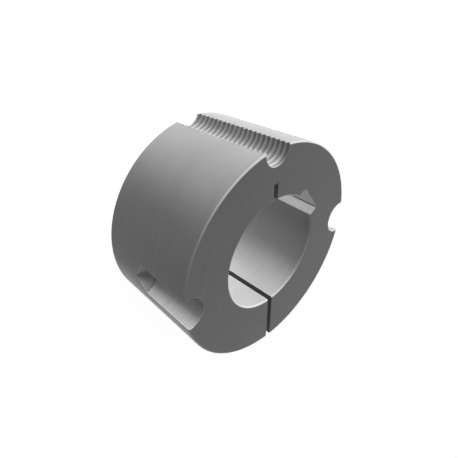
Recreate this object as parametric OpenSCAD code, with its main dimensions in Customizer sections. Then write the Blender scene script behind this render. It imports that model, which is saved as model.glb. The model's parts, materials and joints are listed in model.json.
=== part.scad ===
// Taper bush: a split, keyed sleeve with a tapered outside that clamps a hub on a shaft.
// It stands on its small end with the large face up. Two plain half-holes take the
// clamping screws, and a threaded half-hole takes the screw that draws the bush off.

/* [Tapered body] */
// Diameter of the taper at the large face, before the rim is bevelled
large_d = 85.7; // [80:0.1:100]
// Length along the shaft
length = 44.5; // [36:0.5:70]
// Angle between the tapered side and the shaft axis, in degrees
taper_angle = 4; // [2:0.25:6]
// Bevel round the rim of the large face
rim_bevel = 0.5; // [0.2:0.1:1.5]

/* [Bore] */
// Diameter of the shaft that the bore takes
bore_d = 45; // [36:0.5:50]
// Bevel at both mouths of the bore
mouth_bevel = 0.5; // [0.2:0.1:1.2]

/* [Keyway] */
// Width of the key
key_w = 14; // [8:0.5:16]
// Depth of the keyway past the bore wall, at its middle
keyway_depth = 2.9; // [1.5:0.1:4]
// Direction of the keyway, in degrees round from +X
keyway_angle = 35; // [30:1:55]

/* [Saw cuts] */
// Width of the saw blade, for the split and for the blind cut opposite it
saw_w = 2.2; // [1:0.1:3]
// Depth of the blind cut past the bore wall
blind_cut_depth = 6.7; // [3:0.1:8]

/* [Screw half-holes] */
// Outer diameter of the screws that clamp the bush and draw it off
screw_d = 12.7; // [8:0.1:14]
// Gap all round a clamping screw in its plain half-hole
screw_gap = 0.3; // [0.2:0.05:1]
// How far inside the edge of the large face the holes are centred
hole_inset = 1.4; // [0.5:0.05:3]
// Angle from the threaded half-hole round to each plain one, in degrees
plain_hole_angle = 95; // [85:1:110]
// Depth of a plain half-hole, to the end of its straight wall
plain_hole_depth = 25; // [15:0.5:28]
// Full angle of the drill point at the end of a plain half-hole
drill_point = 118; // [90:1:140]

/* [Thread] */
// Threads to the inch
threads_per_inch = 12; // [10:1:16]
// Angle between the two flanks of the thread, in degrees
thread_angle = 55; // [50:5:60]
// Depth of the thread, from the wall that the drill left to the roots
thread_depth = 0.95; // [0.6:0.05:1.1]

/* [Hidden] */
$fn = 128;
past = 1; // how far a cutting tool runs past the face that it starts from
large_r = large_d / 2;
small_r = large_r - length * tan(taper_angle);
rim_r = large_r - rim_bevel * tan(taper_angle);
bore_r = bore_d / 2;
hole_circle_r = large_r - hole_inset;
plain_hole_r = screw_d / 2 + screw_gap;
point_length = plain_hole_r / tan(drill_point / 2);
inch = 25.4;
thread_pitch = inch / threads_per_inch;
tapped_r = screw_d / 2 - thread_depth;
// Along the thread: a root cut off at a sixth of the sharp thread, two flanks and a wide crest
thread_root = thread_pitch / 6;
thread_flank = thread_depth * tan(thread_angle / 2);
thread_crest = thread_pitch - thread_root - 2 * thread_flank;
thread_turns = ceil(length / thread_pitch) + 1;
thread_groove = [
    [tapped_r, 0],
    [tapped_r, thread_crest],
    [screw_d / 2, thread_crest + thread_flank],
    [screw_d / 2, thread_crest + thread_flank + thread_root],
];

// Turned blank: the section from the bore wall to the taper, carried round the axis
module turned_blank() {
    rotate_extrude()
        polygon([
            [bore_r + mouth_bevel, 0],
            [small_r, 0],
            [rim_r, length - rim_bevel],
            [rim_r - rim_bevel, length],
            [bore_r + mouth_bevel, length],
            [bore_r, length - mouth_bevel],
            [bore_r, mouth_bevel],
        ]);
}

// Drill for a plain half-hole, from its point up past the large face
module drill() {
    rotate_extrude()
        polygon([
            [0, -point_length],
            [plain_hole_r, 0],
            [plain_hole_r, plain_hole_depth + past],
            [0, plain_hole_depth + past],
        ]);
}

// Both plain half-holes, one each side of the threaded one
module plain_half_holes() {
    for (side = [-1, 1])
        rotate(90 + side * plain_hole_angle)
            translate([hole_circle_r, 0, length - plain_hole_depth])
                drill();
}

// Tap: the thread's outline, with one groove for each turn, carried round its own axis
module tap() {
    rotate_extrude()
        polygon([
            [0, 0],
            for (turn = [0 : thread_turns - 1], corner = thread_groove)
                corner + [0, turn * thread_pitch],
            [tapped_r, thread_turns * thread_pitch],
            [0, thread_turns * thread_pitch],
        ]);
}

// Threaded half-hole, right through, with the middle of a crest on the large face
module threaded_half_hole() {
    top_crest = (thread_turns - 1) * thread_pitch + thread_crest / 2;
    translate([0, hole_circle_r, length - top_crest])
        tap();
}

// Saw cut from the shaft axis out to a given reach, along +Y and through both faces
module saw_cut(reach) {
    translate([-saw_w / 2, 0, -past])
        cube([saw_w, reach, length + 2 * past]);
}

// Keyway, from the middle of the bore out to its floor
module keyway() {
    rotate(keyway_angle)
        translate([0, -key_w / 2, -past])
            cube([bore_r + keyway_depth, key_w, length + 2 * past]);
}

module taper_bush() {
    color([0.42, 0.42, 0.43])
        difference() {
            turned_blank();
            plain_half_holes();
            threaded_half_hole();
            rotate(180)
                saw_cut(large_r + past);
            saw_cut(bore_r + blind_cut_depth);
            keyway();
        }
}

taper_bush();
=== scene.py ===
import json
import math

import bpy
import numpy as np
from mathutils import Matrix, Vector


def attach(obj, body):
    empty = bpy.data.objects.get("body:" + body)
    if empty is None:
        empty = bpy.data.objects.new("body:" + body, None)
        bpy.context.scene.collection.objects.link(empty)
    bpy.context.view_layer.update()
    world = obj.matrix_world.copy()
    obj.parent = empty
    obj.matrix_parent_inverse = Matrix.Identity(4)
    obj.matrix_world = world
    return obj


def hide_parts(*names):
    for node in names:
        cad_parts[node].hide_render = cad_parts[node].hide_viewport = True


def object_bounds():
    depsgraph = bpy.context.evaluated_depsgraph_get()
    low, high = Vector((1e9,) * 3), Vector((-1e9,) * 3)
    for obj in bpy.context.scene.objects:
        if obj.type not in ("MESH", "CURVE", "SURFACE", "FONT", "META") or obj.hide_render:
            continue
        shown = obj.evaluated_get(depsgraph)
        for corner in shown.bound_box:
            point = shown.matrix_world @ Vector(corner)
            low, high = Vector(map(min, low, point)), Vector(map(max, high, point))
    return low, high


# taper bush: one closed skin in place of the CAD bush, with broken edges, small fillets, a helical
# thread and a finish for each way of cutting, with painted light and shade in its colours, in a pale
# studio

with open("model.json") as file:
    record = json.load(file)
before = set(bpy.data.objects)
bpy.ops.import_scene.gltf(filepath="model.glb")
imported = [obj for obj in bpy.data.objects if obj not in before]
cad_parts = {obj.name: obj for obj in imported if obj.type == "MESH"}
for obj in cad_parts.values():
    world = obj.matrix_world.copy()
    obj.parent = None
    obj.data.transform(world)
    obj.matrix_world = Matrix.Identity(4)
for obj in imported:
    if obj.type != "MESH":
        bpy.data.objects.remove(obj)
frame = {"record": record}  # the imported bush, standing on its small end
cadLow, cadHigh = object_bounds()
mounts = {mount["name"]: mount for mount in frame["record"]["mounts"]}
mm = 0.001  # the mesh is worked out in millimetres and scaled once
quarterTurn = math.pi / 2
fullTurn = 2 * math.pi
print("frame loaded")


def polar(name):
    # a mount's distance from the bore axis, in mm, and its direction round that axis
    x, y, _ = mounts[name]["pos_m"]
    return math.hypot(x, y) / mm, math.atan2(y, x)


keyFloor, keyAngle = polar("keyway")
holeCircle, rightHoleAngle = polar("clamping_hole_right")
leftHoleAngle = polar("clamping_hole_left")[1]
threadCircle, threadAngle = polar("draw_off_thread")

# lengths in mm and angles in radians
bush = {
    "length": (cadHigh.z - cadLow.z) / mm,
    "largeRadius": 42.85,  # taper at the large face, before its bevel
    "taperAngle": math.radians(4),
    "rimBevel": 0.5,
    "boreRadius": mounts["shaft_bore"]["dims"]["r_mm"],
    "mouthBevel": 0.5,
    "keyWidth": 14.0,
    "keyFloor": keyFloor,
    "keyAngle": keyAngle,
    "keyCorner": 0.4,  # radius in the bottom corners of the keyway
    "sawWidth": 2.2,
    "sawCorner": 0.12,  # radius in the bottom corners of the blind cut
    "splitAngle": -quarterTurn,
    "blindCutAngle": quarterTurn,
    "blindCutDepth": 6.7,  # past the bore wall
    "holeCircle": holeCircle,
    "rightHoleAngle": rightHoleAngle,
    "leftHoleAngle": leftHoleAngle + fullTurn,  # counted on from the right one
    "holeRadius": mounts["clamping_hole_right"]["dims"]["r_mm"],
    "holeDepth": mounts["clamping_hole_right"]["dims"]["length_mm"],
    "drillPoint": math.radians(118),
    "drillRound": 0.12,  # where a hole's wall meets its drill point
    "threadCircle": threadCircle,
    "threadAngle": threadAngle,
    "crestRadius": mounts["draw_off_thread"]["dims"]["r_mm"],
    "rootRadius": 6.35,
    "flankAngle": math.radians(55),  # between the thread's two flanks
    "pitch": 25.4 / 12,
    "rootFlat": 1 / 6,  # share of the pitch
    "crestRound": 0.1,  # each side of a flank's end at the crest, as a share of the flank
    "rootRound": 0.18,  # each side of its end at the root
    "edgeRound": 0.14,  # edges of the end faces
    "cornerRound": 0.161,  # edges between walls: a little more, so that the two blend at the ends
    "bevelRound": 0.06,  # each side of a bevel's edge
}
# rows and columns of the mesh
grid = {
    "gap": 0.25,  # flat or straight stretch kept beside a rounded edge
    "edgeRows": 6,  # over each rounded edge of an end face
    "edgeGap": 0.1,
    "shoulderGap": 0.08,
    "endRows": (0.95, 2.55, 14),  # where the thread's rows start to follow its helix
    "tipRows": (0.5, 3.1, 9),  # above a drill point: the nearest, the furthest and how many
    "rowGap": 0.05,  # the thread's rows come no nearer than this to the others
    "helixStart": 0.5,  # the thread's rows are level this far in from each end face ...
    "helixFade": 2.0,  # ... and follow its helix after this much more
    "cornerSteps": 40,  # of the search for the thread's corners
    "holeVanish": math.radians(0.35),  # half angle that a hole's columns keep below its point
    "sharpAngle": math.radians(50),  # edges over this are shaded sharp
    "filletColumns": 4,
    "pocketFillet": 3,
    "holeFillet": 5,
    "threadColumns": 40,
    # columns along each stretch, and the share of it that its first and last steps take
    "taperToHole": (34, 0.004),
    "taperToThread": (38, 0.004),
    "holeWall": (24, 0.01),
    "splitWall": (4, 0.012),
    "boreToBlindCut": (52, 0.006),
    "boreToKeyway": (12, 0.006),
    "boreToSplit": (34, 0.006),
    "pocketWall": (3, 0.08),
    "blindCutFloor": (2, 0.5),
    "keywayFloor": (4, 0.02),
}
finishNames = ["turnedTaper", "facedEnd", "drilledHole", "tappedThread", "boredWall",
               "broachedKeyway", "sawnCut"]


def smoothRamp(x):
    # 3x^2 - 2x^3 between 0 and 1, flat outside
    x = np.clip(x, 0, 1)
    return x * x * (3 - 2 * x)


def softMax(a, b, width):
    # the larger of a and b, with the corner between them rounded over +-width
    share = np.clip(0.5 + 0.5 * (a - b) / width, 0, 1)
    return b + (a - b) * share + width * share * (1 - share)


def shares(stretch):
    # 0, a short first step, then even steps up to a short last one; the end itself is left out
    count, first = grid[stretch]
    return np.concatenate([[0.0], np.linspace(first, 1 - first, count - 1)])


def flankEdges(size):
    # phases where a flank leaves the crest and reaches the root, in turns from the middle of a
    # crest: a flank runs height x tan(half the flank angle) along the thread
    run = (size["rootRadius"] - size["crestRadius"]) * math.tan(size["flankAngle"] / 2) / size["pitch"]
    root = 0.5 - size["rootFlat"] / 2
    return root - run, root


def threadRadius(phase, size):
    # radius of the thread at a phase: a flat crest, a straight flank and a flat root, with the
    # corners between them rounded
    crest, root = flankEdges(size)
    distance = np.abs((phase + 0.5) % 1.0 - 0.5)
    rise = softMax((distance - crest) / (root - crest), 0.0, size["crestRound"])
    rise = -softMax(-rise, -1.0, size["rootRound"])
    return size["crestRadius"] + rise * (size["rootRadius"] - size["crestRadius"])


def threadLevels(size):
    # heights where each rounded corner of the thread starts and ends, down from the middle of a
    # crest on the large face
    edges = np.array(flankEdges(size))
    spread = (edges[1] - edges[0]) * np.array([size["crestRound"], size["rootRound"]])
    corners = np.concatenate([edges - spread, edges + spread])
    phases = np.concatenate([corners, 1 - corners])
    turns = np.arange(math.ceil(size["length"] / size["pitch"]))
    return size["length"] - ((turns[:, None] + phases) * size["pitch"]).ravel()


def levels(size):
    # heights of the mesh's rows, close together at the end faces, at the shoulders of the plain
    # half-holes, above their drill points and at every edge of the thread; the first and last rows
    # lie on the end faces, set in from their edges
    length, gap, near = size["length"], grid["gap"], grid["shoulderGap"]
    rounded = size["edgeRound"] * (1 - np.cos(np.linspace(0, quarterTurn, grid["edgeRows"])))
    bevel = size["rimBevel"] + size["bevelRound"] * np.array([-1, 0, 1])
    end = np.concatenate([
        rounded, rounded[-1:] + grid["edgeGap"],
        bevel, bevel[-1:] + gap,
        np.linspace(*grid["endRows"]),
    ])
    shoulder = length - size["holeDepth"]
    tip = shoulder - size["holeRadius"] / math.tan(size["drillPoint"] / 2)
    nearest, furthest, count = grid["tipRows"]
    others = np.concatenate([
        end, length - end,
        shoulder + np.array([-gap, -near, 0, near, gap]),
        tip + nearest + (furthest - nearest) * np.linspace(0, 1, count) ** 2,
    ])
    thread = threadLevels(size)
    thread = thread[(thread > end[-1]) & (thread < length - end[-1])]
    thread = thread[np.abs(thread[:, None] - others).min(axis=1) > grid["rowGap"]]
    z = np.unique(np.round(np.concatenate([others, thread]), 5))  # two rows at one height are one
    z = np.concatenate([z[:1], z, z[-1:]])
    inset = np.zeros_like(z)
    inset[[0, -1]] = gap
    return z[:, None], inset[:, None]


class Section:
    # the bush's outline at every level: columns of points, each worked out for all levels at once
    def __init__(self, size):
        # a wall's rounded end stands back by edge - sqrt(edge^2 - (edge - depth)^2)
        self.size = size
        self.z, self.inset = levels(size)
        self.depth = np.minimum(self.z, size["length"] - self.z)  # in from the nearer end face
        edge = size["edgeRound"]
        arc = np.sqrt(np.maximum(edge**2 - np.maximum(edge - self.depth, 0) ** 2, 0))
        self.broken = edge - arc + self.inset
        mouth = softMax(size["mouthBevel"] - self.depth, 0.0, size["bevelRound"])
        self.bore = size["boreRadius"] + mouth + self.inset
        self.columns = {name: [] for name in ("x", "y", "z", "finish", "edge", "residue")}

    def taperRadius(self, z):
        # R - (L - z) tan(angle), less the rim's bevel at the top and the rounded edge at the foot
        size = self.size
        fromTop = size["length"] - z
        rim = softMax(size["rimBevel"] - fromTop, 0.0, size["bevelRound"])
        foot = np.where(fromTop > size["length"] / 2, self.broken, self.inset)
        return size["largeRadius"] - fromTop * math.tan(size["taperAngle"]) - rim - foot

    def add(self, s, t, turn, finish, edge=0.0, residue=0.0, z=None, there=True):
        # points s along and t across a direction turned from +X, with the taper's finish at the
        # levels where a cut isn't there
        s, t = np.broadcast_arrays(s + 0 * self.z, t + 0 * self.z)
        added = {
            "x": s * math.cos(turn) - t * math.sin(turn),
            "y": s * math.sin(turn) + t * math.cos(turn),
            "z": self.z if z is None else z,
            "finish": np.where(there, finishNames.index(finish), finishNames.index("turnedTaper")),
            "edge": np.where(there, edge, 0.0),
            "residue": np.where(there, residue, 0.0),
        }
        for name, values in added.items():
            self.columns[name].append(np.broadcast_to(values, s.shape))

    def boreArc(self, start, end, stretch):
        # arc of the bore wall, from start up to but not at end: r (cos a, sin a)
        a = start + (end - start) * shares(stretch)
        self.add(self.bore * np.cos(a), self.bore * np.sin(a), 0.0, "boredWall")

    def taperArc(self, start, end, stretch, startLift=0.0, endLift=0.0, startEdge=0.0):
        # arc of the taper, R(z) (cos a, sin a), whose rows rise or fall to meet the thread's helix
        # at its start or its end
        share = shares(stretch)
        z = self.z + startLift * smoothRamp(1 - 2 * share) + endLift * smoothRamp(2 * share - 1)
        a = start + (end - start) * share
        radius = self.taperRadius(z)
        edge = startEdge * (share == 0)
        self.add(radius * np.cos(a), radius * np.sin(a), 0.0, "turnedTaper", edge, z=z)

    def wall(self, s0, s1, t, turn, stretch, finish):
        # straight, at t across, from s0 up to but not at s1
        self.add(s0 + (s1 - s0) * shares(stretch), t, turn, finish)

    def fillet(self, s, t, start, end, turn, finish):
        # edge between two walls, lightened by wear and a painted highlight: (s, t) + r (cos a, sin a),
        # a from start to end
        a = start + (end - start) * np.arange(grid["filletColumns"]) / grid["filletColumns"]
        r = self.size["cornerRound"]
        self.add(s + r * np.cos(a), t + r * np.sin(a), turn, finish, edge=1.0)

    def insideFillet(self, s, t, radius, start, turn, finish):
        # bottom corner of a cut, darkened with painted shade: a quarter turn clockwise from start
        a = start - quarterTurn * np.arange(grid["pocketFillet"]) / grid["pocketFillet"]
        self.add(s + radius * np.cos(a), t + radius * np.sin(a), turn, finish, residue=1.0)

    def filletCentre(self, radius, half):
        # centre of the fillet between a round wall and the wall of a cut, half a width from the
        # cut's middle: on a circle of the given radius, and one fillet clear of the cut's wall
        t = half + self.size["cornerRound"]
        s = np.sqrt(radius**2 - t**2)
        return s, t, np.arctan2(t, s)

    def pocket(self, turn, half, floor, corner, floorStretch, finish):
        # a square-bottomed cut into the bore wall, passed from its left side to its right
        half, floor, corner = half + self.broken, floor + self.broken, corner + self.broken
        s, t, swing = self.filletCentre(self.bore + self.size["cornerRound"], half)
        deep, wide = floor - corner, half - corner
        share = shares(floorStretch)
        self.fillet(s, t, swing - math.pi, -quarterTurn, turn, finish)
        self.wall(s, deep, half, turn, "pocketWall", finish)
        self.insideFillet(deep, wide, corner, quarterTurn, turn, finish)
        # painted shade on the floor's first column, beside the inside corner
        self.add(floor, wide * (1 - 2 * share), turn, finish, residue=1.0 * (share == 0))
        self.insideFillet(deep, -wide, corner, 0.0, turn, finish)
        self.wall(deep, s, -half, turn, "pocketWall", finish)
        self.fillet(s, -t, quarterTurn, math.pi - swing, turn, finish)

    def halfHole(self):
        # columns of a drilled half-hole, and the angle from its middle to its fillets' centres:
        # circles of radius R - c about the bore axis and rho + c about the hole's axis meet at the
        # centre of each fillet, whose radius is c; below the drill point the columns lie on the taper
        size, c = self.size, self.size["cornerRound"]
        circle = size["holeCircle"]
        height = self.z - size["length"] + size["holeDepth"]  # above the end of the straight wall
        cone = size["holeRadius"] + height * math.tan(size["drillPoint"] / 2)
        rho = -softMax(-cone, -size["holeRadius"], size["drillRound"]) + self.broken
        outer = self.taperRadius(self.z)
        a, b = outer - c, np.maximum(rho, 0) + c
        cosine = (a**2 + circle**2 - b**2) / (2 * a * circle)
        there = (cosine < math.cos(grid["holeVanish"])) & (rho > 0)
        swing = np.where(there, np.arccos(np.clip(cosine, -1, 1)), grid["holeVanish"])
        s, t = a * np.cos(swing), a * np.sin(swing)
        chi = np.arctan2(t, s - circle)  # direction of a fillet's centre from the hole's axis
        share = np.arange(grid["holeFillet"]) / grid["holeFillet"]
        low = -swing + (math.pi - chi + swing) * share
        high = chi - math.pi + (math.pi - chi + swing) * share
        middle = -chi - 2 * (math.pi - chi) * shares("holeWall")
        along = np.hstack([s + c * np.cos(low), circle + rho * np.cos(middle), s + c * np.cos(high)])
        across = np.hstack([c * np.sin(low) - t, rho * np.sin(middle), c * np.sin(high) + t])
        count = along.shape[1]
        flat = swing * (2 * np.arange(count) / count - 1)
        # wear and a painted highlight on the hole's two fillets
        edge = np.repeat([1.0, 0.0, 1.0], (low.shape[1], middle.shape[1], high.shape[1]))
        shoulderShade = (grid["gap"] - np.abs(height)) / (grid["gap"] - grid["shoulderGap"])
        columns = {
            "s": np.where(there, along, outer * np.cos(flat)),
            "t": np.where(there, across, outer * np.sin(flat)),
            "edge": edge,
            "residue": np.clip(shoulderShade, 0, 1) * (1 - edge),  # painted shade where the wall meets the drill point
            "there": there,
        }
        return columns, swing

    def threadGroove(self):
        # columns of the helical half-hole, right-handed, and where its two corners lie: the phase is
        # z / pitch - bend / full turn, with bend the angle round the thread's axis from the groove's
        # bottom, and the rows climb with the helix
        size = self.size
        circle, pitch = size["threadCircle"], size["pitch"]
        fade = smoothRamp((self.depth - grid["helixStart"]) / grid["helixFade"])

        def place(bend):
            # rise of the rows at a bend, their height, and the groove's radius there
            lift = pitch * bend / fullTurn * fade
            z = self.z + lift
            phase = (z - size["length"]) / pitch - bend / fullTurn
            return lift, z, threadRadius(phase, size) + self.broken

        def corner(side):
            # where the groove meets the taper, tried again until it settles: the bend is a quarter
            # turn and an angle whose sine is (taper^2 - circle^2 - rho^2) / (2 circle rho)
            bend = side * quarterTurn + 0 * self.z
            for _ in range(grid["cornerSteps"]):
                lift, z, rho = place(bend)
                sine = (self.taperRadius(z) ** 2 - circle**2 - rho**2) / (2 * circle * rho)
                bend = side * (quarterTurn + np.arcsin(np.clip(sine, -1, 1)))
            return bend, lift

        right, rightLift = corner(1)
        left, leftLift = corner(-1)
        bend = right + (left - right) * np.linspace(0, 1, grid["threadColumns"] + 1)
        _, z, rho = place(bend)
        s, t = circle - rho * np.cos(bend), -rho * np.sin(bend)
        rise = (rho - size["crestRadius"]) / (size["rootRadius"] - size["crestRadius"])
        crest = np.clip(1 - rise / size["crestRound"], 0, 1)  # rubbed bright by screws, and a painted highlight
        # painted shade in the thread's roots
        root = np.clip(rise - 0.5, 0, 0.5)
        columns = {"s": s, "t": t, "z": z, "edge": crest, "residue": root}
        turn = size["threadAngle"] + np.arctan2(t, s)
        groove = {name: values[:, :-1] for name, values in columns.items()}
        return groove, (turn[:, :1], rightLift), (turn[:, -1:], leftLift, crest[:, -1:])


def bushOutline(size):
    # once round the section: taper and half-holes anticlockwise, split, then bore and cuts clockwise
    section = Section(size)
    rim = section.taperRadius(section.z) - size["cornerRound"]
    bore = section.bore + size["cornerRound"]
    sawHalf, keyHalf = size["sawWidth"] / 2, size["keyWidth"] / 2
    width = sawHalf + section.broken
    rimS, rimT, rimSwing = section.filletCentre(rim, width)
    boreS, boreT, sawSwing = section.filletCentre(bore, width)
    keySwing = section.filletCentre(bore, keyHalf + section.broken)[2]
    hole, holeSwing = section.halfHole()
    groove, (rightCorner, rightLift), (leftCorner, leftLift, leftCrest) = section.threadGroove()
    rightHole, leftHole = size["rightHoleAngle"], size["leftHoleAngle"]
    split, blindCut, key = size["splitAngle"], size["blindCutAngle"], size["keyAngle"]
    cutFloor = size["boreRadius"] + size["blindCutDepth"]

    section.fillet(rimS, rimT, -quarterTurn, rimSwing, split, "sawnCut")
    section.taperArc(split + rimSwing, rightHole - holeSwing, "taperToHole")
    section.add(**hole, turn=rightHole, finish="drilledHole")
    section.taperArc(rightHole + holeSwing, rightCorner, "taperToThread", endLift=rightLift)
    section.add(**groove, turn=size["threadAngle"], finish="tappedThread")
    section.taperArc(leftCorner, leftHole - holeSwing, "taperToThread", leftLift, startEdge=leftCrest)
    section.add(**hole, turn=leftHole, finish="drilledHole")
    section.taperArc(leftHole + holeSwing, split + fullTurn - rimSwing, "taperToHole")
    section.fillet(rimS, -rimT, -rimSwing, quarterTurn, split, "sawnCut")
    section.wall(rimS, boreS, -width, split, "splitWall", "sawnCut")
    section.fillet(boreS, -boreT, quarterTurn, math.pi - sawSwing, split, "boredWall")

    section.boreArc(split + fullTurn - sawSwing, blindCut + sawSwing, "boreToBlindCut")
    section.pocket(blindCut, sawHalf, cutFloor, size["sawCorner"], "blindCutFloor", "sawnCut")
    section.boreArc(blindCut - sawSwing, key + keySwing, "boreToKeyway")
    section.pocket(key, keyHalf, size["keyFloor"], size["keyCorner"], "keywayFloor", "broachedKeyway")
    section.boreArc(key - keySwing, split + sawSwing, "boreToSplit")
    section.fillet(boreS, boreT, sawSwing - math.pi, -quarterTurn, split, "boredWall")
    section.wall(boreS, rimS, width, split, "splitWall", "sawnCut")
    return section


def bushMesh(size):
    # the section's columns swept up through its levels, closed by one face at each end
    section = bushOutline(size)
    parts = {name: np.hstack(columns) for name, columns in section.columns.items()}
    points = np.stack([parts[name] for name in "xyz"], axis=-1) * mm
    rows, columns = points.shape[:2]
    index = np.arange(rows * columns).reshape(rows, columns)
    after = np.roll(index, -1, axis=1)
    quads = np.stack([index[:-1], after[:-1], after[1:], index[1:]], axis=-1).reshape(-1, 4).tolist()
    ends = [index[0][::-1].tolist(), index[-1].tolist()]
    mesh = bpy.data.meshes.new("taperBush")
    mesh.from_pydata(points.reshape(-1, 3).tolist(), [], quads + ends)

    finish = parts["finish"]
    faceFinish = finish[:-1].copy()
    faceFinish[[0, -1]] = finishNames.index("facedEnd")
    slots = np.append(faceFinish.ravel(), [finishNames.index("facedEnd")] * len(ends)).astype(np.int32)
    mesh.polygons.foreach_set("material_index", slots)
    mesh.polygons.foreach_set("use_smooth", np.ones(len(slots), bool))

    # edge mask, for wear and a painted highlight: fillets, thread crests, and the rounded and bevelled
    # edges of the end faces
    past = size["bevelRound"] / 2  # takes in each edge's last row
    rim = section.z > size["length"] - size["rimBevel"] - past
    mouth = section.depth < size["mouthBevel"] + past
    edge = parts["edge"] + (section.depth < size["edgeRound"] + past)
    edge += rim & (finish == finishNames.index("turnedTaper"))
    edge += mouth & (finish == finishNames.index("boredWall"))
    onWall = section.inset == 0
    for name, mask in (("edge", edge), ("residue", parts["residue"])):
        values = (np.minimum(mask, 1) * onWall).ravel().astype(np.float32)
        mesh.attributes.new(name, "FLOAT", "POINT").data.foreach_set("value", values)

    mesh.set_sharp_from_angle(angle=grid["sharpAngle"])
    print("bush mesh:", rows, "levels,", columns, "columns,", rows * columns, "points")
    return mesh


taperBush = bpy.data.objects.new("taper_bush_skin", bushMesh(bush))
bpy.context.scene.collection.objects.link(taperBush)
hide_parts("taper_bush")
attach(taperBush, "root")
print("bush built")

# how each surface was cut: which way its marks run, how far apart in mm and how deep they are, how
# rough it is, how light beside the turned taper, and the wear and painted highlight of its edges where
# not that of iron; the tone is painted light and shade: lighter on the holes, thread, bore and keyway,
# and darker in the saw cuts
finishes = {
    "turnedTaper": {"lay": "round", "pitch": 0.32, "marks": 1.1, "roughness": 0.40, "tone": 1.0},
    "facedEnd": {"lay": "rings", "pitch": 0.40, "marks": 1.0, "roughness": 0.46, "tone": 1.0},
    # painted light: the tones of the holes, thread, bore and keyway below are raised
    "drilledHole": {"lay": "round", "pitch": 0.45, "marks": 1.4, "roughness": 0.44, "tone": 1.05},
    "tappedThread": {"lay": "round", "pitch": 0.20, "marks": 0.8, "roughness": 0.42, "tone": 1.38,
                     "wear": 0.4},
    "boredWall": {"lay": "round", "pitch": 0.36, "marks": 1.1, "roughness": 0.40, "tone": 1.06},
    "broachedKeyway": {"lay": "along", "pitch": 0.42, "marks": 1.4, "roughness": 0.42, "tone": 1.5},
    # painted shade: the saw cuts' tone is lowered
    "sawnCut": {"lay": "round", "pitch": 0.70, "marks": 1.8, "roughness": 0.52, "tone": 0.5,
                "wear": 0.5},
}
iron = {
    "dark": (0.205, 0.205, 0.207, 1),
    "light": (0.295, 0.295, 0.298, 1),
    # colour of worn metal and of the painted highlight on the edges
    "worn": (0.54, 0.54, 0.545, 1),
    # colour of the painted shade in the inside corners, thread roots and drill-point shoulders
    "oily": (0.045, 0.045, 0.046, 1),
    "wear": 1.2,  # strength of the bright edges, worn and with a painted highlight
    "wearMarks": 1.1,  # how far the marks break them up
    "wearGrain": 0.6,  # how far the grain does
    "oil": 0.7,  # strength of the painted shade in the inside corners
    "oilMean": 0.9,
    "oilGrain": -1.6,  # how far the grain breaks them up
    "grain": 0.9,  # contrast of the grain
    "grainScale": 2.6,  # grains in a mm
    "grainRoughness": 0.12,  # change in roughness from grain to grain
    "grainHeight": 0.25,  # beside that of a mark
    "blotch": 0.7,  # contrast of the slow blotches
    "blotchScale": 0.07,
    "blotchRoughness": 0.35,
    "streakLength": 25.0,  # mm along a mark before its tone drifts
    "specular": 0.22,
    "bump": 0.35,
    "bumpHeight": 0.00003,
}


def socket(group, name, kind, side="INPUT", value=None):
    # adds a named input or output to a group
    made = group.interface.new_socket(name=name, in_out=side, socket_type=kind)
    if value is not None:
        made.default_value = value


def node(tree, kind, inputs=(), **settings):
    # adds a node, sets its properties and fills its inputs with values or links
    made = tree.nodes.new(kind)
    for name, value in settings.items():
        setattr(made, name, value)
    for name, value in dict(inputs).items():
        if isinstance(value, bpy.types.NodeSocket):
            tree.links.new(value, made.inputs[name])
        else:
            made.inputs[name].default_value = value
    return made


def maths(tree, operation, *values, clamp=False):
    # the operation on its values, kept between 0 and 1 if clamped
    made = node(tree, "ShaderNodeMath", dict(enumerate(values)), operation=operation, use_clamp=clamp)
    return made.outputs[0]


def noise(tree, vector, scale, detail, roughness):
    # a pattern about 0.5, at vector x scale
    made = node(tree, "ShaderNodeTexNoise", {"Vector": vector, "Scale": scale, "Detail": detail,
                                             "Roughness": roughness})
    return made.outputs["Fac"]


def mixed(tree, share, first, second):
    # first x (1 - share) + second x share
    made = node(tree, "ShaderNodeMix", {"Factor": share, "A": first, "B": second}, data_type="RGBA")
    return made.outputs["Result"]


def scaled(tree, vector, scale):
    # each part of the vector x that of the scale
    made = node(tree, "ShaderNodeVectorMath", {0: vector, 1: scale}, operation="MULTIPLY")
    return made.outputs["Vector"]


def varied(tree, level, *patterns, clamp=False):
    # level + the sum of (pattern - 0.5) x amount, kept between 0 and 1 if clamped
    for pattern, amount in patterns:
        swing = maths(tree, "SUBTRACT", pattern, 0.5)
        level = maths(tree, "MULTIPLY_ADD", swing, amount, level, clamp=clamp)
    return level


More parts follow.
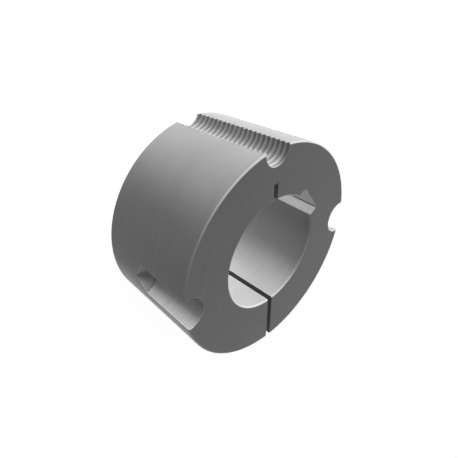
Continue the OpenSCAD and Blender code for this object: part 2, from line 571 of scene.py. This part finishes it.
def ironGroup():
    # tool marks, grain and slow blotches share one tone between dark and light; worn metal with a
    # painted highlight, broken up by the marks and the grain, lightens the edges, and painted shade
    # darkens the inside corners
    group = bpy.data.node_groups.new("ironFinish", "ShaderNodeTree")
    for name in ("Marks", "Place"):
        socket(group, name, "NodeSocketVector")
    for name in ("Edge", "Residue"):
        socket(group, name, "NodeSocketFloat", value=0.0)
    for name in ("Mark Contrast", "Grain Contrast", "Blotch Contrast", "Wear", "Oil", "Mean Roughness"):
        socket(group, name, "NodeSocketFloat", value=0.5)
    for name in ("Dark", "Light", "Worn", "Oily"):
        socket(group, name, "NodeSocketColor")
    socket(group, "Color", "NodeSocketColor", "OUTPUT")
    for name in ("Roughness", "Height"):
        socket(group, name, "NodeSocketFloat", "OUTPUT")
    given = group.nodes.new("NodeGroupInput").outputs
    marks = noise(group, given["Marks"], scale=1.0, detail=3.0, roughness=0.6)
    grain = noise(group, given["Place"], scale=iron["grainScale"], detail=4.0, roughness=0.65)
    blotch = noise(group, given["Place"], scale=iron["blotchScale"], detail=3.0, roughness=0.5)
    tone = varied(group, 0.5, (marks, given["Mark Contrast"]), (grain, given["Grain Contrast"]),
                  (blotch, given["Blotch Contrast"]))
    skin = mixed(group, tone, given["Dark"], given["Light"])
    ragged = varied(group, 0.5, (marks, iron["wearMarks"]), (grain, iron["wearGrain"]), clamp=True)
    rubbedHighlight = maths(group, "MULTIPLY", given["Edge"], given["Wear"])
    worn = mixed(group, maths(group, "MULTIPLY", rubbedHighlight, ragged, clamp=True), skin, given["Worn"])
    patchy = varied(group, iron["oilMean"], (grain, iron["oilGrain"]), clamp=True)
    paintedShadeAmount = maths(group, "MULTIPLY", given["Residue"], given["Oil"])
    color = mixed(group, maths(group, "MULTIPLY", paintedShadeAmount, patchy, clamp=True), worn, given["Oily"])
    rough = varied(group, given["Mean Roughness"], (blotch, iron["blotchRoughness"]),
                   (grain, iron["grainRoughness"]))
    ridges = maths(group, "MULTIPLY", marks, given["Mark Contrast"])
    height = maths(group, "MULTIPLY_ADD", grain, iron["grainHeight"], ridges)
    node(group, "NodeGroupOutput", {"Color": color, "Roughness": rough, "Height": height})
    return group


def marksVector(tree, position, finish):
    # position / pitch across the marks and position / streak length along them: across them lies z
    # for marks round an axis, the radius for rings on an end face, x and y for marks along the bore
    across, along = 1 / finish["pitch"], 1 / iron["streakLength"]
    if finish["lay"] == "along":
        return scaled(tree, position, (across, across, along))
    if finish["lay"] == "rings":
        split = node(tree, "ShaderNodeSeparateXYZ", {"Vector": position}).outputs
        flat = {"X": split["X"], "Y": split["Y"]}
        level = node(tree, "ShaderNodeCombineXYZ", flat).outputs["Vector"]
        radius = node(tree, "ShaderNodeVectorMath", {0: level}, operation="LENGTH").outputs["Value"]
        position = node(tree, "ShaderNodeCombineXYZ", {**flat, "Z": radius}).outputs["Vector"]
    return scaled(tree, position, (along, along, across))


def ironMaterial(name, finish, group):
    # the bush's iron as one way of cutting leaves it, with the painted light and shade of its tone
    def withPaintedLight(shade):
        # shade x the finish's tone, which paints light onto the holes, thread, bore and keyway and
        # shade into the saw cuts
        return tuple(value * finish["tone"] for value in iron[shade][:3]) + (1,)

    material = bpy.data.materials.new(name)
    material.use_nodes = True
    tree = material.node_tree
    shader = tree.nodes["Principled BSDF"]
    place = node(tree, "ShaderNodeTexCoord").outputs["Object"]
    position = scaled(tree, place, (1 / mm,) * 3)  # in millimetres
    skin = node(tree, "ShaderNodeGroup", {
        "Marks": marksVector(tree, position, finish),
        "Place": position,
        "Edge": node(tree, "ShaderNodeAttribute", attribute_name="edge").outputs["Fac"],
        "Residue": node(tree, "ShaderNodeAttribute", attribute_name="residue").outputs["Fac"],
        "Mark Contrast": finish["marks"],
        "Grain Contrast": iron["grain"],
        "Blotch Contrast": iron["blotch"],
        "Wear": finish.get("wear", iron["wear"]),
        "Oil": iron["oil"],
        "Mean Roughness": finish["roughness"],
        "Dark": withPaintedLight("dark"),
        "Light": withPaintedLight("light"),
        "Worn": iron["worn"],
        "Oily": iron["oily"],
    }, node_tree=group)
    bump = node(tree, "ShaderNodeBump", {"Strength": iron["bump"], "Distance": iron["bumpHeight"],
                                         "Height": skin.outputs["Height"]})
    tree.links.new(skin.outputs["Color"], shader.inputs["Base Color"])
    tree.links.new(skin.outputs["Roughness"], shader.inputs["Roughness"])
    tree.links.new(bump.outputs["Normal"], shader.inputs["Normal"])
    shader.inputs["Specular IOR Level"].default_value = iron["specular"]
    return material


ironFinish = ironGroup()
for name in finishNames:
    taperBush.data.materials.append(ironMaterial(name, finishes[name], ironFinish))
print("iron finishes made")

# studio: angles in degrees, and levels as shares of full white light on a surface square to a lamp
studio = {
    "ambient": 0.07,
    "lamps": {
        "key": {"azimuth": 50, "elevation": 1, "level": 2.0, "softness": 20, "shadow": False},
        "side": {"azimuth": 88, "elevation": 1, "level": 0.34, "softness": 20, "shadow": False},
        "fill": {"azimuth": 280, "elevation": 1, "level": 0.7, "softness": 20, "shadow": False},
        "top": {"azimuth": 110, "elevation": 55, "level": 0.15, "softness": 50, "shadow": True},
    },
    "floorSide": 12,  # metres
    "floorColour": 0.8,
    "floorGlow": 0.74,
}


def lamp(name, values):
    # a distant lamp, whose energy is pi x its level; without shadows it gives no highlights either
    light = bpy.data.lights.new(name, "SUN")
    light.energy = values["level"] * math.pi
    light.angle = math.radians(values["softness"])
    light.use_shadow = values["shadow"]
    turn, lift = math.radians(values["azimuth"]), math.radians(values["elevation"])
    towards = Vector((math.cos(lift) * math.cos(turn), math.cos(lift) * math.sin(turn), math.sin(lift)))
    lampObject = bpy.data.objects.new(name, light)
    bpy.context.scene.collection.objects.link(lampObject)
    lampObject.matrix_world = towards.to_track_quat("Z", "Y").to_matrix().to_4x4()
    lampObject.visible_glossy = values["shadow"]


def seenRay(tree):
    # 1 for camera, glossy and transmission rays, which meet the white background
    path = node(tree, "ShaderNodeLightPath").outputs
    seen = maths(tree, "MAXIMUM", path["Is Camera Ray"], path["Is Glossy Ray"])
    return maths(tree, "MAXIMUM", seen, path["Is Transmission Ray"])


for name, values in studio["lamps"].items():
    lamp(name, values)

# floor: white to the camera, with the soft shadow of the bush left in it
bpy.ops.mesh.primitive_plane_add(size=studio["floorSide"], location=(0, 0, 0))
floor = bpy.context.object
floor.name = "floor"
floorMaterial = bpy.data.materials.new("paleFloor")
floorMaterial.use_nodes = True
tree = floorMaterial.node_tree
tree.nodes.remove(tree.nodes["Principled BSDF"])
glow = maths(tree, "MULTIPLY", seenRay(tree), studio["floorGlow"])
matt = node(tree, "ShaderNodeBsdfDiffuse", {"Color": (studio["floorColour"],) * 3 + (1,)})
shine = node(tree, "ShaderNodeEmission", {"Strength": glow})
both = node(tree, "ShaderNodeAddShader", {0: matt.outputs[0], 1: shine.outputs[0]})
tree.links.new(both.outputs[0], tree.nodes["Material Output"].inputs["Surface"])
floor.data.materials.append(floorMaterial)

# backdrop: white to the camera, and weak even light on everything else
world = bpy.data.worlds.new("studio")
bpy.context.scene.world = world
world.use_nodes = True
tree = world.node_tree
strength = maths(tree, "MULTIPLY_ADD", seenRay(tree), 1 - studio["ambient"], studio["ambient"])
tree.nodes["Background"].inputs["Color"].default_value = (1, 1, 1, 1)
tree.links.new(strength, tree.nodes["Background"].inputs["Strength"])

# camera: looks along an isometric diagonal with +Y straight up the picture, distances in mm
cameraPlace = {"right": 15.474, "up": -9.447, "back": 229.05, "fieldOfView": math.radians(45)}
right = Vector((1, 0, 1)).normalized()
back = Vector((-1, 1, 1)).normalized()
up = back.cross(right)
camera = bpy.data.cameras.new("camera")
camera.angle = cameraPlace["fieldOfView"]
camera.clip_start = 0.01
cameraObject = bpy.data.objects.new("camera", camera)
bpy.context.scene.collection.objects.link(cameraObject)
place = (right * cameraPlace["right"] + up * cameraPlace["up"] + back * cameraPlace["back"]) * mm
axes = Matrix((right, up, back)).transposed().to_4x4()
cameraObject.matrix_world = Matrix.Translation(place) @ axes
bpy.context.scene.camera = cameraObject
bpy.context.scene.view_settings.view_transform = "Standard"
print("studio lit")
